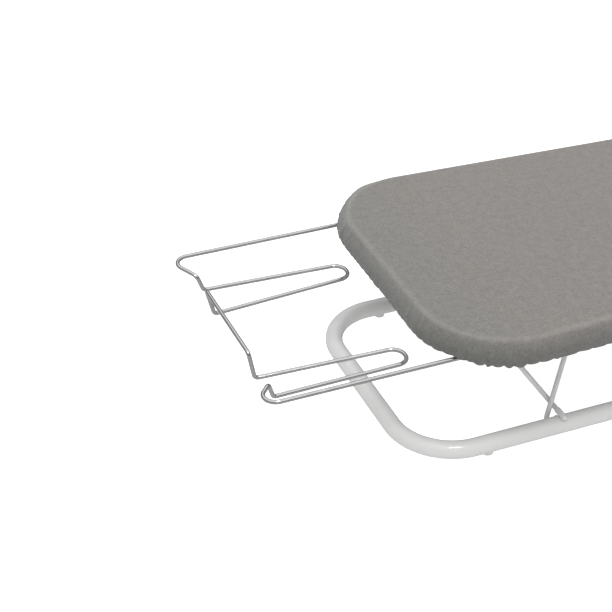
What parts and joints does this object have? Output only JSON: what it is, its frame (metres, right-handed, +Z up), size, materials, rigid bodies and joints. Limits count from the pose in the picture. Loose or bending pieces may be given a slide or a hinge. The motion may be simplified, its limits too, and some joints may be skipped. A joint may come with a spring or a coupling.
{
  "type": "ironing board",
  "caption": "Table-top ironing board with a padded cover, sliding wire iron rest and crossing wire legs that fold flat on a tubular ring base.",
  "frame": {"origin": "on the table, under the middle of the object's bounding box with the iron rest pulled out", "axes": "+X along the board towards its nose, +Y to the far side, +Z up"},
  "size_m": [0.8977, 0.3298, 0.153],
  "materials": {
    "paint": "glossy light grey powder coat",
    "zinc": "zinc plated, matt",
    "chrome": "polished",
    "white_plastic": "fine texture",
    "felt": "needled felt",
    "cover_fabric": "warm grey melange cotton",
    "elastic": "woven elastic"
  },
  "bodies": {
    "base": {"base_ring_tube": "paint", "ring_joint_ferrule": "zinc", "foot_pad_left_near": "white_plastic", "foot_pad_left_far": "white_plastic", "foot_pad_right_near": "white_plastic", "foot_pad_right_far": "white_plastic", "brace_sleeve_left_near": "paint", "brace_sleeve_left_far": "paint", "brace_sleeve_right_near": "paint", "brace_sleeve_right_far": "paint"},
    "link_left": {"link_frame_left": "paint"},
    "link_right": {"link_frame_right": "paint"},
    "brace_left": {"brace_frame_left": "paint"},
    "brace_right": {"brace_frame_right": "paint"},
    "board": {"board_rim": "paint", "board_sheet": "zinc", "channel_near": "paint", "channel_far": "paint", "cross_bar_blunt": "paint", "cross_bar_nose": "paint", "link_clip_left_near": "white_plastic", "link_clip_left_far": "white_plastic", "link_clip_right_near": "white_plastic", "link_clip_right_far": "white_plastic", "brace_hook_left_near": "zinc", "brace_hook_left_far": "zinc", "brace_hook_right_near": "zinc", "brace_hook_right_far": "zinc", "rivet_near_1": "zinc", "rivet_near_2": "zinc", "rivet_near_3": "zinc", "rivet_near_4": "zinc", "rivet_far_1": "zinc", "rivet_far_2": "zinc", "rivet_far_3": "zinc", "rivet_far_4": "zinc", "felt_pad": "felt", "cover": "cover_fabric", "hem_elastic": "elastic", "rest_guide_near_1": "white_plastic", "rest_guide_near_2": "white_plastic", "rest_guide_far_1": "white_plastic", "rest_guide_far_2": "white_plastic"},
    "iron_rest": {"iron_rest_wire": "chrome", "rest_stop_near": "white_plastic", "rest_stop_far": "white_plastic"}
  },
  "joints": [
    {"name": "fold", "type": "hinge", "parent": "base", "child": "link_left", "pos_m": [-0.1501, 0, 0.012], "axis": [0, -1, 0], "range_deg": [0, 94.3]},
    {"name": "board_level", "type": "hinge", "parent": "link_left", "child": "board", "pos_m": [-0.13078, 0, 0.118], "axis": [0, -1, 0], "range_deg": [-94.3, 0]},
    {"name": "right_link_swing", "type": "hinge", "parent": "base", "child": "link_right", "pos_m": [0.1349, 0, 0.012], "axis": [0, -1, 0], "range_deg": [0, 94.3]},
    {"name": "left_brace_swing", "type": "hinge", "parent": "base", "child": "brace_left", "pos_m": [-0.1415, 0, 0.0246], "axis": [0, -1, 0], "range_deg": [0, 50]},
    {"name": "right_brace_swing", "type": "hinge", "parent": "base", "child": "brace_right", "pos_m": [0.1435, 0, 0.0246], "axis": [0, -1, 0], "range_deg": [0, 50]},
    {"name": "rest_slide", "type": "slide", "parent": "board", "child": "iron_rest", "axis": [1, 0, 0], "range_m": [0, 0.07]}
  ],
  "couplings": [
    {"joint": "board_level", "follows": "fold", "ratio": -1},
    {"joint": "right_link_swing", "follows": "fold", "ratio": 1},
    {"joint": "left_brace_swing", "follows": "fold", "ratio": 0.522},
    {"joint": "right_brace_swing", "follows": "fold", "ratio": 0.522}
  ]
}
